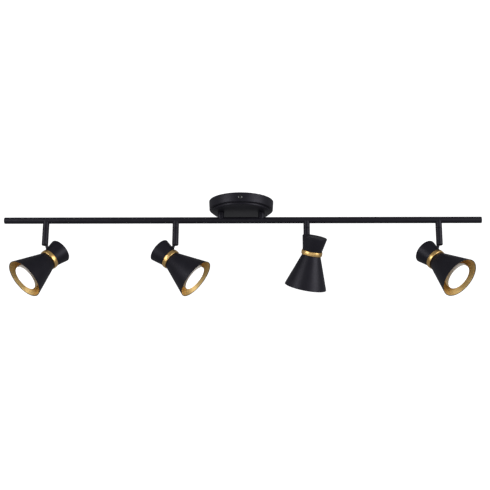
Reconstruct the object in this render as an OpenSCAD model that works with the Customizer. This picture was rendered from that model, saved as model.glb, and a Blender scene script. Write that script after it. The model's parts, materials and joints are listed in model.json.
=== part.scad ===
// Four-head ceiling track light. Origin: centre of the canopy's back face, on
// the ceiling. +Z points up into the ceiling, +X runs along the bar, and -Y is
// the front. Every head hangs from its own stem, turns about the stem and tilts
// on a pin at the stem's slotted end.

/* [Overall] */
// Distance between neighbouring heads along the bar
head_pitch = 243; // [170:1:285]
// Length of bar beyond the outermost heads
bar_overhang = 79; // [20:1:160]
// From the canopy's lowest face down to the bar's centre line
bar_drop = 14.3; // [13:0.1:60]
// From the bar's centre line down to a head's tilt pin
stem_drop = 42.6; // [36:0.1:120]

/* [Canopy] */
// Diameter of the canopy against the ceiling
canopy_d = 120; // [112:1:170]
// Height of the canopy's drum
canopy_h = 17; // [16:0.5:40]
// How far the drum's wall leans in over its height
canopy_draft = 1; // [0:0.1:4]
// Radial width of the drum's lower shoulder
canopy_shoulder = 5; // [4:0.5:12]
// Height of the raised centre disc under the shoulder
canopy_step = 4.1; // [2:0.1:8]
// Thickness of the canopy's pressed steel
canopy_wall = 1; // [0.8:0.1:2]
// Outer radius of the canopy's pressed edges
canopy_edge = 1.6; // [1.2:0.1:1.9]

/* [Ceiling bracket] */
// Width of the bracket strap
strap_w = 16; // [12:0.5:24]
// Thickness of the bracket strap
strap_t = 1.5; // [1:0.1:3]
// Distance between the centres of the two outlet box slots
slot_spacing = 80; // [70:0.5:84]
// End-to-end length of each outlet box slot
slot_l = 14; // [8:0.5:16]
// Width of each outlet box slot
slot_w = 4.6; // [4:0.1:6]
// Diameter of the strap's centre hole
strap_hole_d = 10.4; // [8:0.1:11]
// Depth of the canopy screws below the ceiling
canopy_screw_z = 8.5; // [7:0.1:11]

/* [Posts and bar] */
// Outer diameter of the bar
bar_d = 12; // [11:0.5:20]
// Wall thickness of the bar
bar_wall = 1.2; // [0.8:0.1:2.4]
// Outer diameter of the two posts that carry the bar
post_d = 12; // [11:0.5:18]
// Distance between the two posts
post_spacing = 75.2; // [50:0.2:84]
// Bore of the posts, which the leads pass through
post_bore = 6; // [4:0.1:7]
// Visible thickness of an end cap
end_cap_t = 1.8; // [1:0.1:4]

/* [Swivel and stem] */
// Outer diameter of the stems and their collars
stem_d = 12; // [11.5:0.5:18]
// Height of a collar below the bar
collar_h = 9.6; // [8:0.1:20]
// Diameter of the stem's neck inside its collar
neck_d = 8; // [7.6:0.1:9]
// Radial running clearance of the neck in its collar
swivel_clearance = 0.05; // [0.02:0.01:0.1]
// Bore of a stem, which its leads pass through
stem_bore = 4.6; // [3:0.1:4.8]
// Turn of a stem from one stop to the other
pan_travel = 310; // [180:1:320]
// From the tilt pin down to the stem's rounded end
stem_tail = 5.6; // [5:0.1:8]
// Width of the slot that the tongue swings in
fork_slot = 4.2; // [3.4:0.1:5]
// Thickness of the tongue
tongue_t = 3.4; // [2.4:0.1:4]
// Diameter of the tilt pin
pin_d = 3; // [2.5:0.1:3.5]
// Radial running clearance of the tongue on its pin
pin_clearance = 0.05; // [0.02:0.01:0.1]

/* [Head] */
// From the tilt pin sideways to the head's own axis
head_offset = 29.4; // [29:0.1:40]
// From the tilt pin down to the top of the waist ring, with the head upright
ring_drop = 9.2; // [7:0.1:14]
// Height of the waist ring
ring_h = 7.9; // [5:0.1:12]
// Radius of the waist ring's widest line
ring_r = 19.3; // [18.8:0.1:22]
// Height of the upper shade
cup_h = 26.2; // [20:0.1:34]
// Outer radius of the upper shade at its closed end
cup_r_top = 23; // [19:0.1:23]
// Outer radius of the upper shade at the waist
cup_r_waist = 17.8; // [17.2:0.1:18.4]
// Length of the lower shade
shade_h = 60.1; // [54:0.1:80]
// Outer radius of the lower shade at the waist
shade_r_waist = 16.8; // [16.6:0.1:18]
// Outer radius of the lower shade's mouth
shade_r_mouth = 38.7; // [34:0.1:48]
// Thickness of the spun shades
shade_wall = 0.9; // [0.6:0.1:1.2]
// Thickness of the gold reflector that lines the lower shade
liner_t = 0.5; // [0.3:0.1:0.8]

/* [Lamp] */
// Radius of the bulb's rim
bulb_r = 25; // [23:0.1:26]
// Distance of the bulb's face behind the shade's mouth
bulb_recess = 2.8; // [2:0.1:8]
// Distance between the bulb's two pins
bulb_pin_pitch = 10; // [9:0.1:11]
// Turn that releases the bulb from its holder
bulb_twist = 40; // [30:1:50]
// Radius of the ceramic lampholder
holder_r = 13.5; // [12.5:0.1:13.8]

/* [Aim of each head, left to right] */
// Direction each mouth leans towards, counted from +X towards the back
pan = [-142, -12, 114, -42]; // [-180:1:180]
// Lean of each head from straight down
tilt = [47, 51, 26, 49]; // [0:1:90]

/* [Hidden] */
$fn = 96;

black = [0.09, 0.09, 0.1];
gold = [0.8, 0.6, 0.3];
steel = [0.72, 0.73, 0.75];
ceramic = [0.93, 0.92, 0.88];
bulb_white = [0.95, 0.95, 0.94];
lens_glow = [1, 0.98, 0.93];

cut = 0.5; // how far a cutter runs past the face it opens
gap = 0.3; // clearance between pieces that move past each other
plug_fit = 0.1; // radial play of a plug pushed into a tube
dome_fn = 1200; // a shallow dome is a short stretch of a wide circle
edge_steps = 10; // steps in a quarter round of the canopy's outline

// Heights, all counted from the ceiling
face_z = -canopy_h - canopy_step;
bar_z = face_z - bar_drop;
collar_z = bar_z - bar_d / 2 - collar_h;
pivot_z = bar_z - stem_drop;
stem_x = [for (i = [0:3]) (i - 1.5) * head_pitch];
bar_l = 3 * head_pitch + 2 * bar_overhang;
bar_bore_r = bar_d / 2 - bar_wall;

// Canopy and bracket
step_r = canopy_d / 2 - canopy_draft - canopy_shoulder;
lead_d = 2;
canopy_screw_d = 4;
canopy_screw_head_r = 4.9;
canopy_screw_head_h = 2.4;
tab_t = strap_t;
screw_r = canopy_d / 2 - canopy_draft * canopy_screw_z / canopy_h;
tab_y = sqrt(pow(screw_r - canopy_wall - gap, 2) - pow(strap_w / 2, 2));
tab_bottom = canopy_screw_z + canopy_screw_d;
ground_y = 18;
ground_head_r = 4;
ground_screw_d = 4;
nut_mouth_r = 5;
nut_tip_r = 3.6;
nut_l = 17;
nut_y = 13;
nut_wall = 1.4;
ground_nut_x = strap_w / 2 + 12;

// Posts: a shouldered spigot goes through the canopy and takes a lock nut
spigot_d = 10;
spigot_l = 7;
post_nut_t = 3;
post_nut_af = 14;
post_washer_t = 0.8;
post_washer_r = 7.6;
riser_z = -canopy_screw_z;
riser_bend = 4;

// Swivel
neck_top = bar_z - bar_d / 2 - cut;
neck_gap = gap;
groove_h = 3;
groove_depth = 0.6;
groove_z = (neck_top + collar_z) / 2;
set_screw_d = 3;
set_screw_tip_d = 2.4;
set_screw_turn = 45;
groove_r = neck_d / 2 - groove_depth;
tip_r = groove_r + gap;
stop_half = (360 - pan_travel) / 2 - asin(set_screw_tip_d / 2 / tip_r) - 1;
stem_edge = 3;

// Tilt joint
eye_r = 3.6;
strip_w = 5;
slot_reach = eye_r + gap; // the slot is closed on the side the mouth leans to
pin_head_r = 2.7;
pin_head_h = 1.4;
pin_nut_af = 4.6;
pin_nut_h = 1.6;
cheek_flat = sqrt(pow(stem_d / 2, 2) - pow(pin_head_r + gap, 2));

// Head, counted along its own axis from the tilt pin, downwards negative
cup_z = -ring_drop;
ring_z = cup_z - ring_h;
mouth_z = ring_z - shade_h;
cup_top_z = cup_z + cup_h;
cup_edge = 1.6;
plate_t = 1.2;
plate_z = cup_z + shade_wall;
foot_t = 2;
foot_w = 9;
foot_inner = 5;
foot_z = plate_z + plate_t;
tongue_in_x = cup_r_waist - 3 - head_offset;
strip_top = foot_z + strip_w;
strip_slope = (eye_r * cos(30) - strip_top) / (-eye_r * sin(30) - tongue_in_x);
cup_slope = (cup_r_top - cup_r_waist) / (cup_h - cup_edge);
wall_at_pin_x = cup_r_waist + cup_slope * ring_drop - head_offset;
notch_w = tongue_t + 2 * gap;
notch_top = strip_top + strip_slope * (wall_at_pin_x - tongue_in_x) + gap;
flange_r = holder_r + gap;
ring_lip_r = 16.4;
shoulder_r = 15.2;
shoulder_t = 2;
shade_slope = (shade_r_mouth - shade_r_waist) / shade_h;
liner_top = ring_z - 9;
liner_edge = 0.5;
vent_count = 8;
vent_r = 1.6;
vent_circle = 13;

// Lamp
face_lamp_z = mouth_z + bulb_recess;
holder_front = ring_z - 5;
base_gap = gap;
base_z = holder_front - base_gap;
rim_h = 6;
rim_t = 1.2;
neck_r = 12;
neck_l = 9;
lens_t = 1.6;
lens_dome = 1.2;
pin_neck_r = 1.3;
pin_head_lamp_r = 2.4;
pin_head_lamp_h = 2.2;
lip_t = 2.2;
pin_rise = lip_t + base_gap + gap;
chamber_h = pin_head_lamp_h + 2 * gap;
fix_pitch = 18;
fix_d = 3;
fix_l = 5;

// ---------- shared shapes ----------

// Straight round rod between two points
module rod(p, q, d) {
    v = q - p;
    l = norm(v);
    translate(p)
        rotate([0, acos(v[2] / l), atan2(v[1], v[0])])
            cylinder(h = l, d = d);
}

// Quarter bend that turns from +Z into +X, starting at the origin
module bend(r, d) {
    translate([r, 0, 0])
        rotate([90, 0, 0])
            rotate_extrude(angle = 90, start = 90)
                translate([r, 0])
                    circle(d = d);
}

// Round plate from z = 0 up to h, its lower edge rounded to radius e
module edged_disc(r, h, e) {
    rotate_extrude()
        union() {
            square([r - e, h]);
            translate([0, e]) square([r, h - e]);
            translate([r - e, e])
                intersection() {
                    circle(r = e);
                    translate([0, -e]) square(e);
                }
        }
}

// Half outline of a domed screw head, flat side on y = 0
module dome_profile(r, h) {
    sphere_r = (r * r + h * h) / (2 * h);
    intersection() {
        translate([0, h - sphere_r]) circle(r = sphere_r, $fn = dome_fn);
        square([r, h]);
    }
}

// Places its children on stem i, mouth side towards +X
module on_stem(i) {
    translate([stem_x[i], 0, 0])
        rotate([0, 0, pan[i]])
            children();
}

// Places its children in head i: origin on the tilt pin, upright head below
module in_head(i) {
    translate([0, 0, pivot_z])
        on_stem(i)
            rotate([0, -tilt[i], 0])
                children();
}

// Places its children on head i's own axis
module on_axis(i) {
    in_head(i)
        translate([-head_offset, 0, 0])
            children();
}

// ---------- canopy and ceiling bracket ----------

// Points of a quarter round from angle 0 down to -90 degrees
function quarter(centre, r) =
    [for (a = [0:-90 / edge_steps:-90]) centre + r * [cos(a), sin(a)]];

// One face of the canopy's sheet, t inside its outer face, from wall to centre
function canopy_path(t) =
    let (r_top = canopy_d / 2 - t, r_low = r_top - canopy_draft, e = canopy_edge - t)
    concat(
        [[r_top, 0]],
        quarter([r_low - e, -canopy_h + canopy_edge], e),
        [[step_r - t, -canopy_h + t]],
        quarter([step_r - t - e, face_z + canopy_edge], e),
        [[0, face_z + t]]
    );

function reversed(list) = [for (k = [len(list) - 1:-1:0]) list[k]];

module canopy() {
    color(black)
        difference() {
            rotate_extrude()
                polygon(concat(canopy_path(0), reversed(canopy_path(canopy_wall))));
            for (side = [-1, 1])
                translate([side * post_spacing / 2, 0, face_z - cut])
                    cylinder(d = spigot_d, h = canopy_wall + 2 * cut);
            for (turn = [90, 270])
                rotate([0, 0, turn])
                    translate([canopy_d / 2 - 3 * canopy_wall, 0, -canopy_screw_z])
                        rotate([0, 90, 0])
                            cylinder(d = canopy_screw_d + gap, h = 4 * canopy_wall);
        }
}

module mounting_bracket() {
    color(steel)
        difference() {
            union() {
                translate([-strap_w / 2, -tab_y, -strap_t])
                    cube([strap_w, 2 * tab_y, strap_t]);
                for (side = [-1, 1])
                    translate([-strap_w / 2, side * (tab_y - tab_t / 2) - tab_t / 2, -tab_bottom])
                        cube([strap_w, tab_t, tab_bottom]);
            }
            for (side = [-1, 1]) {
                for (end = [-1, 1])
                    translate([0, side * slot_spacing / 2 + end * (slot_l - slot_w) / 2, -strap_t - cut])
                        cylinder(d = slot_w, h = strap_t + 2 * cut);
                translate([-slot_w / 2, side * slot_spacing / 2 - (slot_l - slot_w) / 2, -strap_t - cut])
                    cube([slot_w, slot_l - slot_w, strap_t + 2 * cut]);
                translate([0, side * (tab_y - tab_t - cut), -canopy_screw_z])
                    rotate([-90 * side, 0, 0])
                        cylinder(d = canopy_screw_d, h = tab_t + 2 * cut);
            }
            translate([0, 0, -strap_t - cut])
                cylinder(d = strap_hole_d, h = strap_t + 2 * cut);
            translate([0, ground_y, -strap_t - cut])
                cylinder(d = ground_screw_d, h = strap_t + 2 * cut);
        }
}

// One knurled round-head screw, its head on the canopy's side wall
module canopy_screws() {
    shank_in = 5;
    flat = screw_r + canopy_draft * canopy_screw_head_r / canopy_h;
    color(black)
        for (turn = [90, 270])
            rotate([0, 0, turn])
                translate([flat, 0, -canopy_screw_z])
                    rotate([0, 90, 0])
                        difference() {
                            union() {
                                rotate_extrude() dome_profile(canopy_screw_head_r, canopy_screw_head_h);
                                translate([0, 0, -shank_in])
                                    cylinder(d = canopy_screw_d, h = shank_in + gap);
                            }
                            translate([-canopy_screw_head_r, -0.6, canopy_screw_head_h - 0.8])
                                cube([2 * canopy_screw_head_r, 1.2, canopy_screw_head_h]);
                        }
}

module ground_screw() {
    terminal_t = 0.8;
    head_h = 2.4;
    color([0.2, 0.5, 0.25])
        translate([0, ground_y, -strap_t - terminal_t]) {
            translate([0, 0, -head_h])
                difference() {
                    cylinder(r = ground_head_r, h = head_h);
                    translate([-ground_head_r, -0.5, -cut])
                        cube([2 * ground_head_r, 1, 0.8 + cut]);
                }
            cylinder(d = ground_screw_d, h = strap_t + terminal_t - gap);
        }
    color(steel)
        translate([0, ground_y, -strap_t - terminal_t])
            difference() {
                union() {
                    cylinder(r = ground_head_r, h = terminal_t);
                    translate([0, -lead_d / 2, 0])
                        cube([ground_head_r + lead_d, lead_d, terminal_t]);
                }
                translate([0, 0, -cut])
                    cylinder(d = ground_screw_d, h = terminal_t + 2 * cut);
            }
}

// Live and neutral leads: from their wire nuts, down a post, along the bar
module supply_leads() {
    for (side = [-1, 1]) {
        x = side * lead_d * 0.6 - post_spacing / 2;
        top = riser_z - riser_bend;
        color(side < 0 ? [0.12, 0.12, 0.13] : [0.9, 0.9, 0.88]) {
            translate([x, 0, top])
                rotate([0, 0, 90 * side])
                    bend(riser_bend, lead_d);
            rod([x, side * riser_bend, riser_z], [x, side * (nut_y + nut_wall), riser_z], lead_d);
            rod([x, 0, top], [x, 0, bar_z + side * lead_d * 0.6], lead_d);
            translate([0, 0, bar_z + side * lead_d * 0.6])
                rod([stem_x[0], 0, 0], [stem_x[3], 0, 0], lead_d);
        }
    }
    color([0.2, 0.55, 0.25])
        rod([ground_head_r + lead_d, ground_y, -strap_t - lead_d / 2 - 0.8],
            [ground_nut_x + nut_wall, ground_y, -strap_t - nut_mouth_r], lead_d);
}

// Hollow twist-on connector, its mouth at the origin and its tip towards +Z
module wire_nut() {
    difference() {
        cylinder(r1 = nut_mouth_r, r2 = nut_tip_r, h = nut_l);
        translate([0, 0, -cut])
            cylinder(r1 = nut_mouth_r - nut_wall, r2 = nut_tip_r - nut_wall, h = nut_l - nut_wall + cut);
    }
}

module wire_nuts() {
    color([0.85, 0.55, 0.2]) {
        for (side = [-1, 1])
            translate([side * lead_d * 0.6 - post_spacing / 2, side * nut_y, riser_z])
                rotate([-90 * side, 0, 0])
                    wire_nut();
        translate([ground_nut_x, ground_y, -strap_t - nut_mouth_r])
            rotate([0, 90, 0])
                wire_nut();
    }
}

// ---------- posts and bar ----------

module bar_solid(d, extra = 0) {
    translate([-bar_l / 2 - extra, 0, bar_z])
        rotate([0, 90, 0])
            cylinder(d = d, h = bar_l + 2 * extra);
}

module posts() {
    color(black)
        for (side = [-1, 1])
            difference() {
                translate([side * post_spacing / 2, 0, 0])
                    difference() {
                        union() {
                            translate([0, 0, bar_z])
                                cylinder(d = post_d, h = bar_drop);
                            translate([0, 0, face_z - cut])
                                cylinder(d = spigot_d, h = spigot_l + cut);
                        }
                        translate([0, 0, bar_z - cut])
                            cylinder(d = post_bore, h = bar_drop + spigot_l + 2 * cut);
                    }
                bar_solid(bar_d);
            }
}

module post_nuts() {
    color(steel)
        for (side = [-1, 1])
            translate([side * post_spacing / 2, 0, face_z + canopy_wall]) {
                difference() {
                    cylinder(r = post_washer_r, h = post_washer_t);
                    translate([0, 0, -cut])
                        cylinder(d = spigot_d, h = post_washer_t + 2 * cut);
                }
                translate([0, 0, post_washer_t])
                    difference() {
                        cylinder(d = post_nut_af / cos(30), h = post_nut_t, $fn = 6);
                        translate([0, 0, -cut])
                            cylinder(d = spigot_d, h = post_nut_t + 2 * cut);
                    }
            }
}

module bar() {
    tube_l = bar_l - 2 * end_cap_t;
    color(black)
        difference() {
            translate([-tube_l / 2, 0, bar_z])
                rotate([0, 90, 0])
                    cylinder(d = bar_d, h = tube_l);
            bar_solid(2 * bar_bore_r, cut);
            for (side = [-1, 1])
                translate([side * post_spacing / 2, 0, bar_z])
                    cylinder(d = post_bore, h = bar_d);
            for (x = stem_x)
                translate([x, 0, bar_z - bar_d])
                    cylinder(d = stem_bore, h = bar_d);
        }
}

module end_caps() {
    plug_l = 8;
    edge = 1.2;
    color(black)
        for (side = [-1, 1])
            translate([side * bar_l / 2, 0, bar_z])
                rotate([0, -90 * side, 0]) {
                    edged_disc(bar_d / 2, end_cap_t, edge);
                    cylinder(r = bar_bore_r - plug_fit, h = end_cap_t + plug_l);
                }
}

module swivel_collars() {
    color(black)
        for (x = stem_x)
            difference() {
                translate([x, 0, collar_z])
                    difference() {
                        cylinder(d = stem_d, h = bar_z - collar_z);
                        translate([0, 0, -cut])
                            cylinder(r = neck_d / 2 + swivel_clearance, h = bar_z - collar_z);
                        translate([0, 0, groove_z - collar_z])
                            rotate([0, 90, set_screw_turn])
                                cylinder(d = set_screw_d, h = stem_d);
                    }
                bar_solid(bar_d);
            }
}

// Grub screws whose tips run in the necks' grooves and hold the stems up
module set_screws() {
    body_r = neck_d / 2 + swivel_clearance;
    color(steel)
        for (x = stem_x)
            translate([x, 0, groove_z])
                rotate([0, 90, set_screw_turn])
                    difference() {
                        union() {
                            translate([0, 0, tip_r])
                                cylinder(d = set_screw_tip_d, h = body_r - tip_r + gap);
                            translate([0, 0, body_r])
                                cylinder(d = set_screw_d, h = stem_d / 2 - body_r - gap);
                        }
                        translate([0, 0, stem_d / 2 - gap - 1])
                            cylinder(d = 1.7, h = 2, $fn = 6);
                    }
}

// ---------- stems and tilt joints ----------

module stem(i) {
    body_top = collar_z - neck_gap;
    end_z = pivot_z - stem_tail;
    color(black)
        on_stem(i)
            difference() {
                union() {
                    translate([0, 0, end_z])
                        edged_disc(stem_d / 2, body_top - end_z, stem_edge);
                    translate([0, 0, body_top - cut])
                        cylinder(d = neck_d, h = neck_top - body_top + cut);
                }
                // groove, left whole where it forms the stop
                rotate([0, 0, stop_half])
                    translate([0, 0, groove_z - groove_h / 2])
                        rotate_extrude(angle = 360 - 2 * stop_half)
                            translate([groove_r, 0])
                                square([stem_d, groove_h]);
                translate([0, 0, pivot_z])
                    cylinder(d = stem_bore, h = neck_top - pivot_z + cut);
                translate([-stem_d, -fork_slot / 2, end_z - cut])
                    cube([stem_d + slot_reach, fork_slot, pivot_z + slot_reach - end_z + cut]);
                translate([0, -stem_d, pivot_z])
                    rotate([-90, 0, 0])
                        cylinder(d = pin_d, h = 2 * stem_d);
                translate([0, -stem_d, pivot_z])
                    rotate([-90, 0, 0])
                        cylinder(r = pin_head_r + gap / 2, h = stem_d - cheek_flat + pin_head_h);
                translate([0, cheek_flat - pin_nut_h, pivot_z])
                    rotate([-90, 0, 0])
                        cylinder(d = pin_nut_af / cos(30), h = stem_d, $fn = 6);
            }
}

// Slotted shoulder screw across the fork, with its hexagon nut
module tilt_pin(i) {
    head_y = -cheek_flat + pin_head_h;
    nut_y0 = cheek_flat - pin_nut_h;
    color(steel)
        on_stem(i)
            translate([0, 0, pivot_z]) {
                difference() {
                    union() {
                        translate([0, head_y - pin_head_h, 0])
                            rotate([-90, 0, 0])
                                cylinder(r = pin_head_r, h = pin_head_h);
                        translate([0, head_y - pin_head_h, 0])
                            rotate([-90, 0, 0])
                                cylinder(d = pin_d, h = cheek_flat - head_y + pin_head_h);
                    }
                    translate([-pin_head_r, head_y - pin_head_h - cut, -0.35])
                        cube([2 * pin_head_r, 0.6 + cut, 0.7]);
                }
                translate([0, nut_y0, 0])
                    rotate([-90, 0, 0])
                        difference() {
                            cylinder(d = pin_nut_af / cos(30), h = pin_nut_h, $fn = 6);
                            translate([0, 0, -cut])
                                cylinder(d = pin_d, h = pin_nut_h + 2 * cut);
                        }
            }
}

// Flat tongue: eye on the tilt pin, strip down to the waist, foot on the bracket
module tongue(i) {
    color(black)
        in_head(i)
            difference() {
                union() {
                    translate([0, tongue_t / 2, 0])
                        rotate([90, 0, 0])
                            linear_extrude(tongue_t)
                                union() {
                                    circle(r = eye_r);
                                    polygon([
                                        [-eye_r * sin(30), eye_r * cos(30)],
                                        [tongue_in_x, strip_top],
                                        [tongue_in_x, foot_z],
                                        [-eye_r * sin(30), eye_r * cos(30) - strip_w]
                                    ]);
                                }
                    translate([foot_inner - head_offset, -foot_w / 2, foot_z])
                        cube([tongue_in_x + head_offset - foot_inner, foot_w, foot_t]);
                }
                rotate([90, 0, 0])
                    cylinder(d = pin_d + 2 * pin_clearance, h = 2 * tongue_t, center = true);
            }
}

// ---------- head shells ----------

module upper_shade(i) {
    wall_x = shade_wall * sqrt(1 + cup_slope * cup_slope);
    edge_z = cup_top_z - cup_edge;
    color(black)
        on_axis(i)
            difference() {
                rotate_extrude()
                    difference() {
                        union() {
                            polygon([
                                [flange_r, cup_z], [cup_r_waist, cup_z], [cup_r_top, edge_z],
                                [0, edge_z], [0, plate_z], [flange_r, plate_z]
                            ]);
                            translate([0, edge_z - cut]) square([cup_r_top - cup_edge, cup_edge + cut]);
                            translate([cup_r_top - cup_edge, edge_z]) circle(r = cup_edge);
                        }
                        polygon([
                            [-cut, plate_z], [cup_r_waist - wall_x + cup_slope * shade_wall, plate_z],
                            [cup_r_top - wall_x, edge_z],
                            [cup_r_top - cup_edge, cup_top_z - shade_wall],
                            [-cut, cup_top_z - shade_wall]
                        ]);
                    }
                translate([flange_r - cut, -notch_w / 2, cup_z - cut])
                    cube([cup_r_top, notch_w, notch_top - cup_z + cut]);
                for (k = [0:vent_count - 1])
                    rotate([0, 0, (k + 0.5) * 360 / vent_count])
                        translate([vent_circle, 0, edge_z])
                            cylinder(r = vent_r, h = cup_edge + cut);
            }
}

module waist_ring(i) {
    side_r = ring_r - 1.3;
    swell = ring_r - side_r;
    arc_r = (ring_h * ring_h / 4 + swell * swell) / (2 * swell);
    color(gold)
        on_axis(i)
            translate([0, 0, ring_z])
                rotate_extrude()
                    union() {
                        translate([ring_lip_r, 0])
                            square([side_r - ring_lip_r, ring_h]);
                        intersection() {
                            translate([ring_r - arc_r, ring_h / 2]) circle(r = arc_r);
                            translate([side_r, 0]) square([2 * swell, ring_h]);
                        }
                    }
}

module lower_shade(i) {
    wall_x = shade_wall * sqrt(1 + shade_slope * shade_slope);
    color(black)
        on_axis(i)
            translate([0, 0, ring_z])
                rotate_extrude()
                    polygon([
                        [flange_r, 0],
                        [shade_r_waist, 0],
                        [shade_r_mouth, -shade_h],
                        [shade_r_mouth - wall_x, -shade_h],
                        [shade_r_waist - wall_x + shade_slope * shade_wall, -shade_wall],
                        [flange_r, -shade_wall]
                    ]);
}

// Spun gold cone that lies against the lower shade's inner face
module reflector(i) {
    wall_x = shade_wall * sqrt(1 + shade_slope * shade_slope);
    liner_x = liner_t * sqrt(1 + shade_slope * shade_slope);
    top = ring_z - liner_top;
    r_top = shade_r_waist + shade_slope * top - wall_x;
    r_low = shade_r_mouth - shade_slope * liner_edge - wall_x;
    color(gold)
        on_axis(i)
            translate([0, 0, ring_z])
                rotate_extrude()
                    polygon([
                        [r_top - liner_x, -top],
                        [r_top, -top],
                        [r_low, liner_edge - shade_h],
                        [r_low - liner_x, liner_edge - shade_h]
                    ]);
}

// ---------- head internals ----------

module holder_bracket(i) {
    plate_r = cup_r_waist - shade_wall - gap;
    head_r = 2.7;
    head_h = 1.8;
    color(steel)
        on_axis(i)
            translate([0, 0, plate_z]) {
                difference() {
                    cylinder(r = plate_r, h = plate_t);
                    translate([0, 0, -cut])
                        cylinder(r = 4.5, h = plate_t + 2 * cut);
                    for (side = [-1, 1])
                        translate([0, side * fix_pitch / 2, -cut])
                            cylinder(d = fix_d, h = plate_t + 2 * cut);
                }
                for (side = [-1, 1])
                    translate([0, side * fix_pitch / 2, 0])
                        difference() {
                            union() {
                                translate([0, 0, -fix_l])
                                    cylinder(d = fix_d, h = fix_l + plate_t + cut);
                                translate([0, 0, plate_t])
                                    rotate_extrude() dome_profile(head_r, head_h);
                            }
                            translate([-head_r, -0.4, plate_t + head_h - 0.8])
                                cube([2 * head_r, 0.8, head_h]);
                        }
            }
}

module lampholder(i) {
    pin_r = bulb_pin_pitch / 2;
    neck_slot = pin_neck_r + gap;
    head_slot = pin_head_lamp_r + gap;
    chamber_z = holder_front + lip_t;
    color(ceramic)
        on_axis(i)
            difference() {
                union() {
                    translate([0, 0, holder_front])
                        cylinder(r = holder_r, h = plate_z - holder_front);
                    translate([0, 0, ring_z - shade_wall - shoulder_t])
                        cylinder(r = shoulder_r, h = shoulder_t);
                }
                translate([0, 0, chamber_z])
                    rotate_extrude()
                        translate([pin_r - head_slot - gap, 0])
                            square([2 * (head_slot + gap), chamber_h]);
                for (half = [0, 180])
                    rotate([0, 0, half]) {
                        rotate([0, 0, -bulb_twist])
                            translate([0, 0, holder_front - cut])
                                rotate_extrude(angle = bulb_twist)
                                    translate([pin_r - neck_slot, 0])
                                        square([2 * neck_slot, lip_t + 2 * cut]);
                        translate([pin_r, 0, holder_front - cut])
                            cylinder(r = neck_slot + gap, h = lip_t + 2 * cut);
                        rotate([0, 0, -bulb_twist])
                            translate([pin_r, 0, holder_front - cut])
                                cylinder(r = head_slot, h = lip_t + 2 * cut);
                    }
                for (side = [-1, 1])
                    translate([0, side * fix_pitch / 2, plate_z - fix_l])
                        cylinder(d = fix_d, h = fix_l + cut);
            }
}

// Two leads out of the lampholder, up through the bracket and over to the notch
module head_leads(i) {
    rise = 9;
    out_x = cup_r_waist - 5;
    color([0.9, 0.88, 0.82])
        on_axis(i)
            for (side = [-1, 1])
                translate([0, side * 2.6, 0]) {
                    rod([-1, 0, plate_z], [-1, 0, plate_z + rise], lead_d);
                    translate([-1, 0, plate_z + rise])
                        bend(riser_bend, lead_d);
                    rod([riser_bend - 1, 0, plate_z + rise + riser_bend],
                        [out_x, side * 3, plate_z + rise + riser_bend - 3], lead_d);
                }
}

module bulb_body(i) {
    pin_r = bulb_pin_pitch / 2;
    shell_l = base_z - neck_l - face_lamp_z - rim_h;
    color(bulb_white)
        on_axis(i) {
            difference() {
                union() {
                    translate([0, 0, face_lamp_z])
                        cylinder(r = bulb_r, h = rim_h);
                    translate([0, 0, face_lamp_z + rim_h])
                        cylinder(r1 = bulb_r, r2 = neck_r, h = shell_l);
                    translate([0, 0, base_z - neck_l])
                        cylinder(r = neck_r, h = neck_l);
                    for (half = [0, 180])
                        rotate([0, 0, half])
                            translate([pin_r, 0, base_z - cut]) {
                                cylinder(r = pin_neck_r, h = pin_rise + 2 * cut);
                                translate([0, 0, pin_rise + cut])
                                    cylinder(r = pin_head_lamp_r, h = pin_head_lamp_h - gap);
                            }
                }
                translate([0, 0, face_lamp_z - cut])
                    cylinder(r = bulb_r - rim_t, h = lens_t + cut);
            }
        }
}

module bulb_lens(i) {
    color(lens_glow)
        on_axis(i)
            translate([0, 0, face_lamp_z + lens_t])
                mirror([0, 0, 1])
                    rotate_extrude()
                        union() {
                            square([bulb_r - rim_t, lens_t]);
                            translate([0, lens_t]) dome_profile(bulb_r - rim_t, lens_dome);
                        }
}

canopy();
mounting_bracket();
canopy_screws();
ground_screw();
supply_leads();
wire_nuts();
posts();
post_nuts();
bar();
end_caps();
swivel_collars();
set_screws();
for (i = [0:3]) {
    stem(i);
    tilt_pin(i);
    tongue(i);
    upper_shade(i);
    waist_ring(i);
    lower_shade(i);
    reflector(i);
    holder_bracket(i);
    lampholder(i);
    head_leads(i);
    bulb_body(i);
    bulb_lens(i);
}
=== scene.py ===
"""Looks of a four-head ceiling bar light: black powder-coated spun shades with
polished gold waist rings, spun gold interiors and lit frosted lamp faces."""
import json
import math

import bmesh
import bpy
import numpy as np
from mathutils import Matrix, Vector


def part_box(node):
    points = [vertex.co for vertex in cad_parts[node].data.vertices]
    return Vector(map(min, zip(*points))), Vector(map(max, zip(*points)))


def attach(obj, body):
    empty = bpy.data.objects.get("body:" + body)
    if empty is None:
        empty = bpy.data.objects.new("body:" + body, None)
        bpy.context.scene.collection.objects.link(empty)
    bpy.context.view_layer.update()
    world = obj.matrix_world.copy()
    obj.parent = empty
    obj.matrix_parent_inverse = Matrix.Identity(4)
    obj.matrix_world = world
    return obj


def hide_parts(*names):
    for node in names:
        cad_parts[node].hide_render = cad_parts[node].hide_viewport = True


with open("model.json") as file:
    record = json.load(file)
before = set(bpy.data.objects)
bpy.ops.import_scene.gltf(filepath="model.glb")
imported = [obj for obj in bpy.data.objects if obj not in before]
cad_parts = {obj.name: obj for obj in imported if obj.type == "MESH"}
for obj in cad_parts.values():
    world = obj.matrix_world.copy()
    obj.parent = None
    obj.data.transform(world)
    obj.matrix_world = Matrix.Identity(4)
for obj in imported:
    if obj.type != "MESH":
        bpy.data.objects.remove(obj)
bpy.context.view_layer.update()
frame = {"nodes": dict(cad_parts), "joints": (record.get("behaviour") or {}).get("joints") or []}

MM = 0.001
HEADS = (1, 2, 3, 4)
JOINTS = {joint["name"]: joint for joint in frame["joints"]}
NODES = frame["nodes"]
UP = Vector((0, 0, 1))
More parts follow.
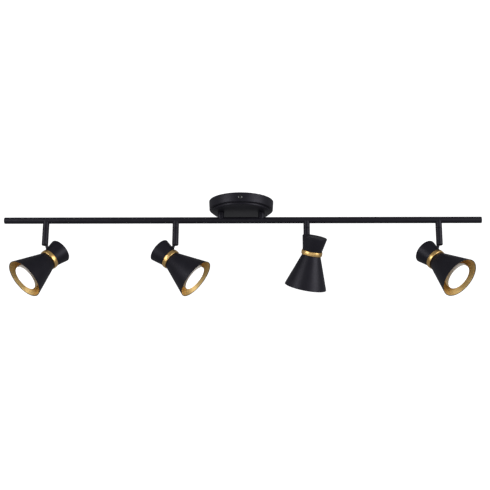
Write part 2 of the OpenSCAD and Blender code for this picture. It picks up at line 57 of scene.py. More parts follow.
TURN_STEPS = 160
TURNED = "turned_place"
SMOOTH_UNDER = math.radians(32)


# ---------- places: where the CAD says each piece stands ----------

def place(origin, up, side):
    """A frame at origin whose Z is up and whose X is as near side as it can be."""
    z = Vector(up).normalized()
    x = Vector(side) - Vector(side).dot(z) * z
    x.normalize()
    y = z.cross(x)
    turned = Matrix((x, y, z)).transposed().to_4x4()
    return Matrix.Translation(Vector(origin)) @ turned


def local_points(node, where):
    """A CAD node's corners in a place's own axes."""
    back = np.array(where.inverted())
    corners = np.array([v.co for v in NODES[node].data.vertices])
    return corners @ back[:3, :3].T + back[:3, 3]


def heights(node, where):
    """Lowest and highest of a CAD node along a place's Z."""
    z = local_points(node, where)[:, 2]
    return z.min(), z.max()


def radius_at(node, where, height, inner=False):
    """Outer (or inner) radius of a turned CAD node near a height."""
    points = local_points(node, where)
    near = points[np.abs(points[:, 2] - height) < 0.12 * MM]
    radii = np.hypot(near[:, 0], near[:, 1])
    return radii.min() if inner else radii.max()


def head_axis(n):
    """Head n's own axis: Z away from its mouth, X towards its tilt pin."""
    twist, tilt = JOINTS[f"bulb_twist_{n}"], JOINTS[f"tilt_{n}"]
    origin = Vector(twist["pos_m"])
    return place(origin, -Vector(twist["axis"]), Vector(tilt["pos_m"]) - origin)


def stem_axis(n):
    """Stem n's own axis at its tilt pin: Z up, X towards the side its mouth leans to."""
    tilt = JOINTS[f"tilt_{n}"]
    return place(tilt["pos_m"], UP, UP.cross(Vector(tilt["axis"])))


# ---------- meshes ----------

def add_piece(name, mesh, where):
    piece = bpy.data.objects.new(name, mesh)
    bpy.context.scene.collection.objects.link(piece)
    piece.matrix_world = where
    return piece


def smooth(mesh, under=SMOOTH_UNDER):
    mesh.polygons.foreach_set("use_smooth", [True] * len(mesh.polygons))
    mesh.set_sharp_from_angle(angle=under)


def arc(centre, radius, start, end, steps=8):
    """Points of an arc between two angles in degrees, both ends included."""
    turns = [math.radians(start + (end - start) * k / steps) for k in range(steps + 1)]
    return [(centre[0] + radius * math.cos(a), centre[1] + radius * math.sin(a)) for a in turns]


def rounded(corners, radii, steps=6):
    """The closed outline through corners, each rounded by its own radius."""
    outline = []
    count = len(corners)
    for k, corner in enumerate(corners):
        here = Vector(corner)
        before = Vector(corners[k - 1]) - here
        after = Vector(corners[(k + 1) % count]) - here
        radius = radii[k]
        if radius <= 0:
            outline.append(tuple(here))
            continue
        half = before.angle(after) / 2
        reach = min(radius / math.tan(half), 0.49 * before.length, 0.49 * after.length)
        radius = reach * math.tan(half)
        first = here + before.normalized() * reach
        last = here + after.normalized() * reach
        inward = (before.normalized() + after.normalized()).normalized()
        middle = here + inward * (radius / math.sin(half))
        a, b = first - middle, last - middle
        swing = a.angle_signed(b)
        for s in range(steps + 1):
            turn = -swing * s / steps
            spoke = Vector((a.x * math.cos(turn) - a.y * math.sin(turn),
                            a.x * math.sin(turn) + a.y * math.cos(turn)))
            outline.append(tuple(middle + spoke))
    return outline


def lathe(name, where, outline, steps=TURN_STEPS, closed=True):
    """A turned piece from an outline of (radius, height) points about a place's Z."""
    shell = bmesh.new()
    rings = []
    for radius, height in outline:
        if radius < 1e-7:
            rings.append([shell.verts.new((0, 0, height))])
            continue
        rings.append([
            shell.verts.new((radius * math.cos(2 * math.pi * k / steps),
                             radius * math.sin(2 * math.pi * k / steps), height))
            for k in range(steps)
        ])
    pairs = list(zip(rings, rings[1:]))
    if closed:
        pairs.append((rings[-1], rings[0]))
    for low, high in pairs:
        if len(low) == 1 and len(high) == 1:
            continue
        for k in range(steps):
            after = (k + 1) % steps
            if len(low) == 1:
                shell.faces.new((low[0], high[after], high[k]))
            elif len(high) == 1:
                shell.faces.new((low[k], low[after], high[0]))
            else:
                shell.faces.new((low[k], low[after], high[after], high[k]))
    bmesh.ops.recalc_face_normals(shell, faces=shell.faces)
    mesh = bpy.data.meshes.new(name)
    shell.to_mesh(mesh)
    shell.free()
    smooth(mesh)
    return add_piece(name, mesh, where)


def prism(name, where, outline, thickness, bevel=0.0):
    """A flat plate: an outline in the place's XZ plane, thick along Y, its edges eased."""
    plate = bmesh.new()
    half = thickness / 2
    front = [plate.verts.new((x, -half, z)) for x, z in outline]
    back = [plate.verts.new((x, half, z)) for x, z in outline]
    plate.faces.new(front)
    plate.faces.new(list(reversed(back)))
    for k in range(len(outline)):
        after = (k + 1) % len(outline)
        plate.faces.new((front[k], back[k], back[after], front[after]))
    bmesh.ops.recalc_face_normals(plate, faces=plate.faces)
    mesh = bpy.data.meshes.new(name)
    plate.to_mesh(mesh)
    plate.free()
    smooth(mesh)
    piece = add_piece(name, mesh, where)
    if bevel:
        ease_edges(piece, bevel)
    return piece


def discard(piece):
    """Removes a piece and its mesh."""
    mesh = piece.data
    bpy.data.objects.remove(piece)
    bpy.data.meshes.remove(mesh)


def settle(piece):
    """Writes a piece's modifiers into its mesh."""
    graph = bpy.context.evaluated_depsgraph_get()
    mesh = bpy.data.meshes.new_from_object(piece.evaluated_get(graph))
    old = piece.data
    piece.modifiers.clear()
    piece.data = mesh
    mesh.name = piece.name
    bpy.data.meshes.remove(old)
    smooth(piece.data)


def ease_edges(piece, width, segments=3):
    bevel = piece.modifiers.new("eased_edges", "BEVEL")
    bevel.width = width
    bevel.segments = segments
    bevel.limit_method = "ANGLE"
    bevel.angle_limit = math.radians(40)
    bevel.harden_normals = False
    settle(piece)


def cut_away(piece, cutters):
    """Takes cutter solids out of a piece, and the cutters with them."""
    for k, cutter in enumerate(cutters):
        cut = piece.modifiers.new(f"cut_{k}", "BOOLEAN")
        cut.operation = "DIFFERENCE"
        cut.solver = "EXACT"
        cut.object = cutter
    settle(piece)
    for cutter in cutters:
        discard(cutter)


def join(name, pieces):
    """Makes one piece of several, in the first one's place."""
    whole = pieces[0]
    target = bmesh.new()
    for piece in pieces:
        copy = piece.data.copy()
        copy.transform(whole.matrix_world.inverted() @ piece.matrix_world)
        target.from_mesh(copy)
        bpy.data.meshes.remove(copy)
    mesh = bpy.data.meshes.new(name)
    target.to_mesh(mesh)
    target.free()
    old = whole.data
    whole.data = mesh
    bpy.data.meshes.remove(old)
    whole.name = name
    for piece in pieces[1:]:
        discard(piece)
    smooth(whole.data)
    return whole


def box_cutter(where, low, high):
    cutter = bmesh.new()
    bmesh.ops.create_cube(cutter, size=1)
    size = Vector(high) - Vector(low)
    centre = (Vector(high) + Vector(low)) / 2
    bmesh.ops.scale(cutter, vec=size, verts=cutter.verts)
    bmesh.ops.translate(cutter, vec=centre, verts=cutter.verts)
    mesh = bpy.data.meshes.new("cutter")
    cutter.to_mesh(mesh)
    cutter.free()
    return add_piece("cutter", mesh, where)


# ---------- materials ----------

class Surface:
    """A Principled material with short calls for its nodes."""

    def __init__(self, name, **values):
        self.material = bpy.data.materials.new(name)
        self.material.use_nodes = True
        self.tree = self.material.node_tree
        self.shader = self.tree.nodes["Principled BSDF"]
        for socket, value in values.items():
            self.shader.inputs[socket.replace("_", " ")].default_value = value

    def node(self, kind, **settings):
        made = self.tree.nodes.new(kind)
        for key, value in settings.items():
            if key in made.inputs:
                made.inputs[key].default_value = value
            else:
                setattr(made, key, value)
        return made

    def wire(self, source, target):
        self.tree.links.new(source, target)

    def place_nodes(self):
        """The piece's own coordinates, in metres."""
        return self.node("ShaderNodeTexCoord").outputs["Object"]

    def turned_nodes(self):
        """Coordinates about the axis that a turned piece was made on, in metres."""
        return self.node("ShaderNodeAttribute", attribute_name=TURNED).outputs["Vector"]

    def noise(self, vector, scale, detail=4.0, roughness=0.55):
        made = self.node("ShaderNodeTexNoise", Scale=scale, Detail=detail, Roughness=roughness)
        self.wire(vector, made.inputs["Vector"])
        return made.outputs["Fac"]

    def spread(self, value, low, high, from_low=0.3, from_high=0.7):
        """Maps a noise value to a range of numbers."""
        made = self.node("ShaderNodeMapRange")
        made.inputs["From Min"].default_value = from_low
        made.inputs["From Max"].default_value = from_high
        made.inputs["To Min"].default_value = low
        made.inputs["To Max"].default_value = high
        self.wire(value, made.inputs["Value"])
        return made.outputs["Result"]

    def tint(self, value, dark, light, target="Base Color"):
        """Mixes two colours by a value into a colour socket."""
        made = self.node("ShaderNodeMix", data_type="RGBA")
        made.inputs["A"].default_value = (*dark, 1)
        made.inputs["B"].default_value = (*light, 1)
        self.wire(value, made.inputs["Factor"])
        self.wire(made.outputs["Result"], self.shader.inputs[target])

    def bump(self, height, strength, distance, under=None):
        made = self.node("ShaderNodeBump", Strength=strength, Distance=distance)
        self.wire(height, made.inputs["Height"])
        if under is not None:
            self.wire(under, made.inputs["Normal"])
        self.wire(made.outputs["Normal"], self.shader.inputs["Normal"])
        return made.outputs["Normal"]

    def turned_rings(self, vector, spacing):
        """A value that runs in rings along the piece's Z, as a spinning tool leaves them."""
        split = self.node("ShaderNodeSeparateXYZ")
        self.wire(vector, split.inputs["Vector"])
        scaled = self.node("ShaderNodeMath", operation="MULTIPLY")
        scaled.inputs[1].default_value = 1 / spacing
        self.wire(split.outputs["Z"], scaled.inputs[0])
        line = self.node("ShaderNodeCombineXYZ")
        self.wire(scaled.outputs["Value"], line.inputs["Z"])
        rings = self.node("ShaderNodeTexNoise", Scale=1.0, Detail=3.0, Roughness=0.7)
        self.wire(line.outputs["Vector"], rings.inputs["Vector"])
        return rings.outputs["Fac"]


def powder_coat():
    """Satin black powder coat: fine orange peel, a little uneven in gloss."""
    paint = Surface("black_powder_coat", Metallic=0.0, Specular_IOR_Level=0.3,
                    Specular_Tint=(0.90, 0.88, 1.0, 1.0))
    where = paint.place_nodes()
    cloud = paint.noise(where, 60.0, 3.0)
    paint.tint(paint.spread(cloud, 0, 1), (0.0070, 0.0064, 0.0100), (0.0100, 0.0092, 0.0142))
    paint.wire(paint.spread(paint.noise(where, 350.0), 0.42, 0.50), paint.shader.inputs["Roughness"])
    peel = paint.bump(paint.noise(where, 420.0, 2.0), 0.10, 0.0004)
    paint.bump(paint.noise(where, 1900.0, 2.0), 0.14, 0.00012, peel)
    return paint.material


def polished_gold():
    """Bright gold plating over a turned ring."""
    metal = Surface("polished_gold", Metallic=1.0)
    where = metal.turned_nodes()
    metal.tint(metal.spread(metal.noise(where, 90.0), 0, 1), (0.84, 0.52, 0.18), (0.92, 0.62, 0.25))
    rings = metal.turned_rings(where, 0.00025)
    metal.wire(metal.spread(rings, 0.34, 0.40), metal.shader.inputs["Roughness"])
    metal.bump(rings, 0.03, 0.00001)
    return metal.material


def spun_gold():
    """Satin gold inside of the shade, with faint rings from spinning."""
    metal = Surface("spun_gold", Metallic=1.0)
    where = metal.turned_nodes()
    bands = metal.turned_rings(where, 0.003)
    metal.tint(metal.spread(bands, 0, 1), (0.70, 0.48, 0.19), (0.83, 0.60, 0.26))
    rings = metal.turned_rings(where, 0.0006)
    metal.wire(metal.spread(rings, 0.44, 0.58), metal.shader.inputs["Roughness"])
    metal.bump(rings, 0.08, 0.00005, metal.bump(bands, 0.12, 0.0002))
    return metal.material


def plated_steel():
    """Zinc plate: clouded grey with a fine grain."""
    metal = Surface("zinc_plated_steel", Metallic=1.0)
    where = metal.place_nodes()
    metal.tint(metal.spread(metal.noise(where, 120.0), 0, 1), (0.42, 0.43, 0.44), (0.60, 0.60, 0.60))
    metal.wire(metal.spread(metal.noise(where, 500.0), 0.26, 0.42), metal.shader.inputs["Roughness"])
    metal.bump(metal.noise(where, 900.0), 0.08, 0.0001)
    return metal.material


def black_screw():
    """Black oxide finish of the small screws, glossier than the powder coat."""
    metal = Surface("black_oxide_screw", Metallic=0.0, Specular_IOR_Level=0.6)
    where = metal.place_nodes()
    metal.tint(metal.spread(metal.noise(where, 200.0), 0, 1), (0.008, 0.008, 0.01), (0.016, 0.016, 0.019))
    metal.wire(metal.spread(metal.noise(where, 700.0), 0.16, 0.24), metal.shader.inputs["Roughness"])
    metal.bump(metal.noise(where, 1500.0), 0.06, 0.0001)
    return metal.material


def moulded(name, dark, light, rough):
    """Moulded plastic or fired ceramic: two close colours, a rough band and a fine grain."""
    body = Surface(name, Metallic=0.0)
    where = body.place_nodes()
    body.tint(body.spread(body.noise(where, 80.0), 0, 1), dark, light)
    body.wire(body.spread(body.noise(where, 400.0), *rough), body.shader.inputs["Roughness"])
    body.bump(body.noise(where, 1200.0), 0.08, 0.0001)
    return body.material


def woven_sleeve():
    """Woven glass-fibre sleeving over the head's leads."""
    cloth = Surface("glass_fibre_sleeve", Metallic=0.0, Roughness=0.85)
    where = cloth.place_nodes()
    weave = cloth.node("ShaderNodeTexVoronoi", Scale=1600.0)
    cloth.wire(where, weave.inputs["Vector"])
    cloth.tint(weave.outputs["Distance"], (0.86, 0.84, 0.77), (0.66, 0.63, 0.55))
    cloth.bump(weave.outputs["Distance"], 0.4, 0.0002)
    return cloth.material


def frosted_lens():
    """Lit frosted face: brightest over the LEDs, falling off to its rim."""
    face = Surface("lit_frosted_lens", Metallic=0.0, Roughness=0.35)
    where = face.turned_nodes()
    face.tint(face.spread(face.noise(where, 900.0, 2.0), 0, 1), (0.92, 0.91, 0.90), (0.98, 0.97, 0.95))
    face.bump(face.noise(where, 1400.0, 2.0), 0.15, 0.0001)
    flat = face.node("ShaderNodeVectorMath", operation="MULTIPLY")
    flat.inputs[1].default_value = (1, 1, 0)
    face.wire(where, flat.inputs[0])
    away = face.node("ShaderNodeVectorMath", operation="LENGTH")
    face.wire(flat.outputs["Vector"], away.inputs[0])
    fall = face.node("ShaderNodeMapRange", interpolation_type="SMOOTHSTEP")
    fall.inputs["From Min"].default_value = 12 * MM
    fall.inputs["From Max"].default_value = 25 * MM
    face.wire(away.outputs["Value"], fall.inputs["Value"])
    face.tint(fall.outputs["Result"], (1.0, 0.985, 0.96), (0.80, 0.76, 0.76), target="Emission Color")
    face.shader.inputs["Emission Strength"].default_value = 1.15
    return face.material


BLACK = powder_coat()
GOLD_RING = polished_gold()
GOLD_INSIDE = spun_gold()
STEEL = plated_steel()
SCREW = black_screw()
BULB = moulded("white_bulb_shell", (0.70, 0.70, 0.70), (0.80, 0.80, 0.79), (0.38, 0.48))
CERAMIC = moulded("steatite_ceramic", (0.78, 0.75, 0.68), (0.86, 0.84, 0.78), (0.5, 0.65))
GREEN = moulded("green_dyed_zinc", (0.03, 0.22, 0.07), (0.05, 0.3, 0.1), (0.25, 0.35))
INSULATION = moulded("lead_insulation", (0.03, 0.03, 0.032), (0.06, 0.06, 0.064), (0.4, 0.5))
CONNECTOR = moulded("orange_connector", (0.7, 0.28, 0.03), (0.82, 0.36, 0.06), (0.22, 0.32))
SLEEVE = woven_sleeve()
LENS = frosted_lens()


def finish_piece(piece, body, slot, material, *nodes):
    """Gives a piece its material and its body, and hides the CAD nodes it stands for."""
    mesh = piece.data
    turned = np.empty(3 * len(mesh.vertices))
    mesh.vertices.foreach_get("co", turned)
    mesh.attributes.new(TURNED, "FLOAT_VECTOR", "POINT").data.foreach_set("vector", turned)
    mesh.transform(piece.matrix_world)
    piece.matrix_world = Matrix.Identity(4)
    piece.data.materials.clear()
    piece.data.materials.append(material)
    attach(piece, body)
    if nodes:
        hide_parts(*nodes)
    return piece


def dress_node(node, material):
    """Gives a CAD node that is shown as it is its material."""
    slots = NODES[node].data.materials
    slots.clear()
    slots.append(material)


# ---------- canopy, posts and bar ----------

canopy_low, canopy_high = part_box("canopy")
screw_low, screw_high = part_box("canopy_screws")
bar_low, bar_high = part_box("bar")
caps_low, caps_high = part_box("end_caps")
collar_low, collar_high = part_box("swivel_collars")
post_low, post_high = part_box("posts")

ROOT_PLACE = place((0, 0, 0), UP, (1, 0, 0))
CANOPY_WALL = 1.0 * MM
BAR_WALL = 1.2 * MM
SHADE_WALL = 0.9 * MM
BAR_Z = (bar_low.z + bar_high.z) / 2
BAR_R = (bar_high.z - bar_low.z) / 2
CANOPY_R = (canopy_high.x - canopy_low.x) / 2


def make_canopy():
    """Pressed steel drum with a raised centre disc, open at the ceiling."""
    wall = CANOPY_WALL
    face_z = heights("canopy", ROOT_PLACE)[0]
    step_r = 54 * MM
    drum_r = CANOPY_R - 1 * MM
    shoulder_z = -17 * MM
    edge, inside = 1.6 * MM, 0.6 * MM
    outer = rounded(
        [(0, face_z), (step_r, face_z), (step_r, shoulder_z), (drum_r, shoulder_z),
         (CANOPY_R, 0), (CANOPY_R - wall, 0), (drum_r - wall, shoulder_z + wall),
         (step_r - wall, shoulder_z + wall), (step_r - wall, face_z + wall), (0, face_z + wall)],
        [0, edge, 0.5 * MM, edge, 0.35 * MM, 0.35 * MM, inside, edge, inside, 0])
    canopy = lathe("canopy_shell", ROOT_PLACE, outer, steps=256, closed=False)
    return finish_piece(canopy, "fixture", "black_paint", BLACK, "canopy")


def make_canopy_screws():
    """Round-head side screws, each with an upright slot."""
    z = (screw_low.z + screw_high.z) / 2
    head_r = (screw_high.x - screw_low.x) / 2
    head_h, rim = 2.4 * MM, 0.2 * MM
    shank_r, shank_l = 2 * MM, 5 * MM
    slot_half, slot_deep = 0.55 * MM, 0.9 * MM
    sphere_r = (head_r ** 2 + head_h ** 2) / (2 * head_h)
    lift = math.degrees(math.asin(head_r / sphere_r))
    dome = arc((0, -sphere_r), sphere_r, 90, 90 - lift, 14)
    outline = dome + [(head_r, -head_h - rim), (shank_r, -head_h - rim),
                      (shank_r, -head_h - shank_l), (0, -head_h - shank_l)]
    made = []
    for side in (-1, 1):
        tip = side * max(abs(screw_low.y), abs(screw_high.y))
        where = place((0, tip, z), (0, side, 0), (0, 0, 1))
        screw = lathe(f"canopy_screw_{'front' if side < 0 else 'back'}", where, outline, 96, closed=False)
        slot = box_cutter(where, (-2 * head_r, -slot_half, -slot_deep), (2 * head_r, slot_half, 1 * MM))
        cut_away(screw, [slot])
        ease_edges(screw, 0.12 * MM, 2)
        made.append(finish_piece(screw, "fixture", "black_screw", SCREW))
    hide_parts("canopy_screws")
    return made


def make_posts():
    """Two short tubes between the canopy and the bar, saddled to the bar."""
    radius = (post_high.y - post_low.y) / 2
    bore = 3 * MM
    spigot_r = 5 * MM
    face_z = canopy_low.z
    bar = lathe("cutter", place((post_low.x - radius, 0, BAR_Z), (1, 0, 0), UP),
                [(0, 0), (BAR_R, 0), (BAR_R, post_high.x - post_low.x + 2 * radius),
                 (0, post_high.x - post_low.x + 2 * radius)], 96, closed=False)
    posts = []
    for side in (-1, 1):
        x = side * ((post_high.x - post_low.x) / 2 - radius)
        where = place((x, 0, 0), UP, (1, 0, 0))
        outline = rounded(
            [(bore, BAR_Z), (radius, BAR_Z), (radius, face_z), (spigot_r, face_z),
             (spigot_r, post_high.z), (bore, post_high.z)],
            [0, 0, 0.3 * MM, 0, 0.4 * MM, 0.2 * MM])
        posts.append(lathe("post", where, outline, 96))
    both = join("posts_pair", posts)
    cut_away(both, [bar])
    return finish_piece(both, "fixture", "black_paint", BLACK, "posts")


def make_bar():
    """The bar lies along X; its own Z runs along it."""
    where = place((bar_low.x, 0, BAR_Z), (1, 0, 0), UP)
    length = bar_high.x - bar_low.x
    bore = BAR_R - BAR_WALL
    outline = rounded([(bore, 0), (BAR_R, 0), (BAR_R, length), (bore, length)],
                      [0, 0.2 * MM, 0.2 * MM, 0])
    bar = lathe("bar_tube", where, outline, 128)
    return finish_piece(bar, "fixture", "black_paint", BLACK, "bar")


def make_end_caps():
    """Plugs in the bar's two ends, each with a round edge."""
    plug_r, plug_l, edge = BAR_R - BAR_WALL, 8 * MM, 1.2 * MM
    caps = []
    for end, inner, way in ((caps_low.x, bar_low.x, 1), (caps_high.x, bar_high.x, -1)):
        where = place((end, 0, BAR_Z), (way, 0, 0), UP)
        cap_t = abs(inner - end)
        outline = [(0, 0)] + arc((BAR_R - edge, edge), edge, -90, 0, 10) + [
            (BAR_R, cap_t), (plug_r, cap_t), (plug_r, cap_t + plug_l), (0, cap_t + plug_l)]
        caps.append(lathe("cap", where, outline, 96, closed=False))
    both = join("end_caps_pair", caps)
    return finish_piece(both, "fixture", "black_paint", BLACK, "end_caps")


def make_collars():
    """Four short collars under the bar, saddled to it."""
    radius = (collar_high.y - collar_low.y) / 2
    bore = 4.05 * MM
    collars = []
    for n in HEADS:
        x = JOINTS[f"tilt_{n}"]["pos_m"][0]
        where = place((x, 0, 0), UP, (1, 0, 0))
        outline = rounded([(bore, collar_low.z), (radius, collar_low.z), (radius, BAR_Z), (bore, BAR_Z)],
                          [0.2 * MM, 0.35 * MM, 0, 0])
        collar = lathe("collar", where, outline, 96)
        bar = lathe("cutter", place((x - 2 * radius, 0, BAR_Z), (1, 0, 0), UP),
                    [(0, 0), (BAR_R, 0), (BAR_R, 4 * radius), (0, 4 * radius)], 96, closed=False)
        cut_away(collar, [bar])
        collars.append(collar)
    group = join("swivel_collar_set", collars)
    return finish_piece(group, "fixture", "black_paint", BLACK, "swivel_collars")


# ---------- stems ----------

def make_stem(n):
    """A tube with a round-cornered end, slotted for the tongue and drilled for its pin."""
    where = stem_axis(n)
    low, high = heights(f"stem_{n}", where)
    radius = BAR_R
    neck_r = 4 * MM
    body_top = collar_low.z - 0.3 * MM - where.translation.z
    groove_h = 3.0 * MM
    groove_z = (high + collar_low.z - where.translation.z) / 2
    groove_r = 3.4 * MM
    bore = 2.3 * MM
    outline = rounded(
        [(bore, low), (radius, low), (radius, body_top), (neck_r, body_top),
         (neck_r, groove_z - groove_h / 2), (groove_r, groove_z - groove_h / 2),
         (groove_r, groove_z + groove_h / 2), (neck_r, groove_z + groove_h / 2),
         (neck_r, high), (bore, high)],
        [0, 3 * MM, 0.35 * MM, 0, 0, 0, 0, 0, 0.3 * MM, 0], steps=12)
    stem = lathe(f"stem_tube_{n}", where, outline, 96)
    # the tube is solid below the leads' bore
    plug_low, plug_r, plug_top = low + 0.02 * MM, bore + 0.3 * MM, 4.4 * MM
    plug = lathe("plug", where, [(0, plug_low), (plug_r, plug_low), (plug_r, plug_top), (0, plug_top)],
                 48, closed=False)
    weld = stem.modifiers.new("weld", "BOOLEAN")
    weld.operation = "UNION"
    weld.solver = "EXACT"
    weld.object = plug
    settle(stem)
    discard(plug)
    slot_half = 2.1 * MM
    slot_top = 3.9 * MM
    slot = box_cutter(where, (-2 * radius, -slot_half, low - 1 * MM), (slot_top, slot_half, slot_top))
    flat = math.sqrt(radius ** 2 - (3.0 * MM) ** 2)
    across = where.to_3x3() @ Vector((0, 1, 0))
    seats = []
    for way, seat_r, deep, sides in ((-across, 2.85 * MM, 1.4 * MM, 64), (across, 2.66 * MM, 1.6 * MM, 6)):
        seats.append(lathe("cutter", place(where.translation, way, UP),
                           [(0, flat - deep), (seat_r, flat - deep), (seat_r, 2 * radius), (0, 2 * radius)],
                           sides, closed=False))
    cut_away(stem, [slot, *seats])
    ease_edges(stem, 0.25 * MM, 2)
    return finish_piece(stem, f"stem_{n}", "black_paint", BLACK, f"stem_{n}")


# ---------- heads ----------

def make_tongue(n):
    """A flat stamped tongue: eye round the pin, strip down to the waist, foot inside."""
    where = head_axis(n)
    tilt = Vector(JOINTS[f"tilt_{n}"]["pos_m"])
    offset = (tilt - where.translation).length
    at_pin = where @ Matrix.Translation((offset, 0, 0))
    points = local_points(f"tongue_{n}", at_pin)
    eye_r = points[:, 0].max()
    foot_z = points[:, 2].min()
    foot_x = points[:, 0].min()
    inner_x = -(offset - 14.8 * MM)
    strip_top = foot_z + 5 * MM
    eye = arc((0, 0), eye_r, -140, 120, 32)
    outline = eye + [(inner_x, strip_top), (inner_x, foot_z)]
    strip = prism(f"tongue_{n}", at_pin, outline, 3.4 * MM, 0.3 * MM)
    strip.name = f"tongue_strip_{n}"
    foot = prism("foot", at_pin, rounded(
        [(foot_x, foot_z), (inner_x, foot_z), (inner_x, foot_z + 2 * MM), (foot_x, foot_z + 2 * MM)],
        [0.2 * MM] * 4), 9 * MM, 0.0)
    both = join(f"tongue_strip_{n}", [strip, foot])
    return finish_piece(both, f"head_{n}", "black_paint", BLACK, f"tongue_{n}")


def make_upper_shade(n):
    """Spun cup: flared wall, round back edge, vented end and an inner flange."""
    where = head_axis(n)
    node = f"upper_shade_{n}"
    low, high = heights(node, where)
    wall = SHADE_WALL
    waist_r = radius_at(node, where, low)
    flange_r = radius_at(node, where, low, inner=True)
    top_r = 23 * MM
    edge = 1.6 * MM
    dish = 0.9 * MM
    outline = rounded(
        [(flange_r, low), (waist_r, low), (top_r, high), (19 * MM, high),
         (17.5 * MM, high - dish), (0, high - dish), (0, high - dish - wall),
         (18 * MM, high - dish - wall), (top_r - wall - 0.2 * MM, high - wall - 0.3 * MM),
         (waist_r - wall, low + wall), (flange_r, low + wall)],
        [0.15 * MM, 0.35 * MM, edge, 0.8 * MM, 0.8 * MM, 0, 0, 0.4 * MM, 0.7 * MM, 0.3 * MM, 0.15 * MM],
        steps=8)
    cup = lathe(f"upper_shade_shell_{n}", where, outline, TURN_STEPS)
    vents, vent_count = [], 8
    vent_r, vent_ring, vent_l = 1.6 * MM, 13 * MM, 6 * MM
    up, side = where.to_3x3() @ UP, where.to_3x3() @ Vector((1, 0, 0))
    for k in range(vent_count):
        turn = (k + 0.5) * 2 * math.pi / vent_count
        spot = where @ Vector((vent_ring * math.cos(turn), vent_ring * math.sin(turn), high - 4 * MM))
        vents.append(lathe("vent", place(spot, up, side),
                           [(0, 0), (vent_r, 0), (vent_r, vent_l), (0, vent_l)], 32, closed=False))
    notch_half, notch_h = 2.0 * MM, 9.4 * MM
    notch = box_cutter(where, (flange_r - 0.5 * MM, -notch_half, low - 1 * MM),
                       (waist_r + 5 * MM, notch_half, low + notch_h))
    cut_away(cup, [join("vents", vents), notch])
    return finish_piece(cup, f"head_{n}", "black_paint", BLACK, node)


def make_waist_ring(n):
    """Turned gold ring: a slight barrel between two rounded edges."""
    where = head_axis(n)
    node = f"waist_ring_{n}"
    low, high = heights(node, where)
    inner = radius_at(node, where, low, inner=True)
    belly = np.hypot(*local_points(node, where)[:, :2].T).max()
    corner = belly - 0.35 * MM
    middle = (low + high) / 2
    outline = rounded(
        [(inner, low), (corner, low), (belly, middle), (corner, high), (inner, high)],
        [0.1 * MM, 1.0 * MM, 12 * MM, 1.0 * MM, 0.1 * MM], steps=10)
    ring = lathe(f"waist_ring_turned_{n}", where, outline, TURN_STEPS)
    return finish_piece(ring, f"head_{n}", "gold_ring", GOLD_RING, node)


def cone_wall(node, where):
    """Heights of a cone's two ends, then their outer radii."""
    low, high = heights(node, where)
    return low, high, radius_at(node, where, low), radius_at(node, where, high)


def make_lower_shade(n):
    """Long spun cone with an inner flange at the waist and a rolled mouth."""
    where = head_axis(n)
    node = f"lower_shade_{n}"
    low, high, mouth_r, waist_r = cone_wall(node, where)
    flange_r = radius_at(node, where, high, inner=True)
    wall = SHADE_WALL
    slope = (mouth_r - waist_r) / (high - low)
    side = wall * math.sqrt(1 + slope * slope)
    outline = rounded(
        [(flange_r, high), (waist_r, high), (mouth_r, low), (mouth_r - side, low),
         (waist_r - side + slope * wall, high - wall), (flange_r, high - wall)],
        [0.15 * MM, 0.5 * MM, 0.42 * MM, 0.42 * MM, 0.3 * MM, 0.15 * MM])
    shade = lathe(f"lower_shade_shell_{n}", where, outline, TURN_STEPS)
    return finish_piece(shade, f"head_{n}", "black_paint", BLACK, node)


def make_reflector(n):
    """Thin gold liner of the long cone."""
    where = head_axis(n)
    node = f"reflector_{n}"
    low, high, mouth_r, top_r = cone_wall(node, where)
    slope = (mouth_r - top_r) / (high - low)
    side = 0.5 * MM * math.sqrt(1 + slope * slope)
    skin = 0.03 * MM
    outline = rounded(
        [(top_r - side, high), (top_r - skin, high), (mouth_r - skin, low), (mouth_r - side, low)],
        [0.1 * MM, 0.1 * MM, 0.2 * MM, 0.2 * MM], steps=4)
    liner = lathe(f"reflector_cone_{n}", where, outline, TURN_STEPS)
    return finish_piece(liner, f"head_{n}", "gold_liner", GOLD_INSIDE, node)


def make_bulb(n):
    """Reflector bulb: flat rim, curved shell, neck and two headed pins."""
    where = head_axis(n)
    node = f"bulb_body_{n}"
    low, high = heights(node, where)
    rim_r = radius_at(node, where, low)
    lens_high = heights(f"bulb_lens_{n}", where)[1]
    neck_r = 12 * MM
    pins_low = high - 5.2 * MM
    rim_h, rim_t = 6 * MM, 1.2 * MM
    neck_low = pins_low - 9 * MM
    hollow = 1.0 * MM
    belly = [
        (rim_r + (neck_r - rim_r) * s - hollow * math.sin(math.pi * s),
         low + rim_h + (neck_low - low - rim_h) * s)
        for s in np.linspace(0, 1, 14)
    ]
    outline = (rounded([(0, lens_high), (rim_r - rim_t, lens_high), (rim_r - rim_t, low), (rim_r, low)],
                       [0, 0, 0.4 * MM, 0.5 * MM])
               + belly + [(neck_r, pins_low), (0, pins_low)])
    shell = lathe(f"bulb_shell_{n}", where, outline, TURN_STEPS, closed=False)
    up, across = where.to_3x3() @ UP, where.to_3x3() @ Vector((1, 0, 0))
    sunk, neck, head, head_at = 0.4 * MM, 1.3 * MM, 2.4 * MM, 3.2 * MM
    pin_l = high - pins_low + sunk
    pin = rounded([(0, 0), (neck, 0), (neck, head_at), (head, head_at), (head, pin_l), (0, pin_l)],
                  [0, 0, 0, 0.2 * MM, 0.3 * MM, 0], 3)
    pins = []
    for side in (-1, 1):
        foot = where @ Vector((side * 5 * MM, 0, pins_low - sunk))
        pins.append(lathe("pin", place(foot, up, across), pin, 32, closed=False))
    finish_piece(join(f"bulb_pins_{n}", pins), f"bulb_{n}", "zinc_steel", STEEL)
    return finish_piece(shell, f"bulb_{n}", "bulb_shell", BULB, node)


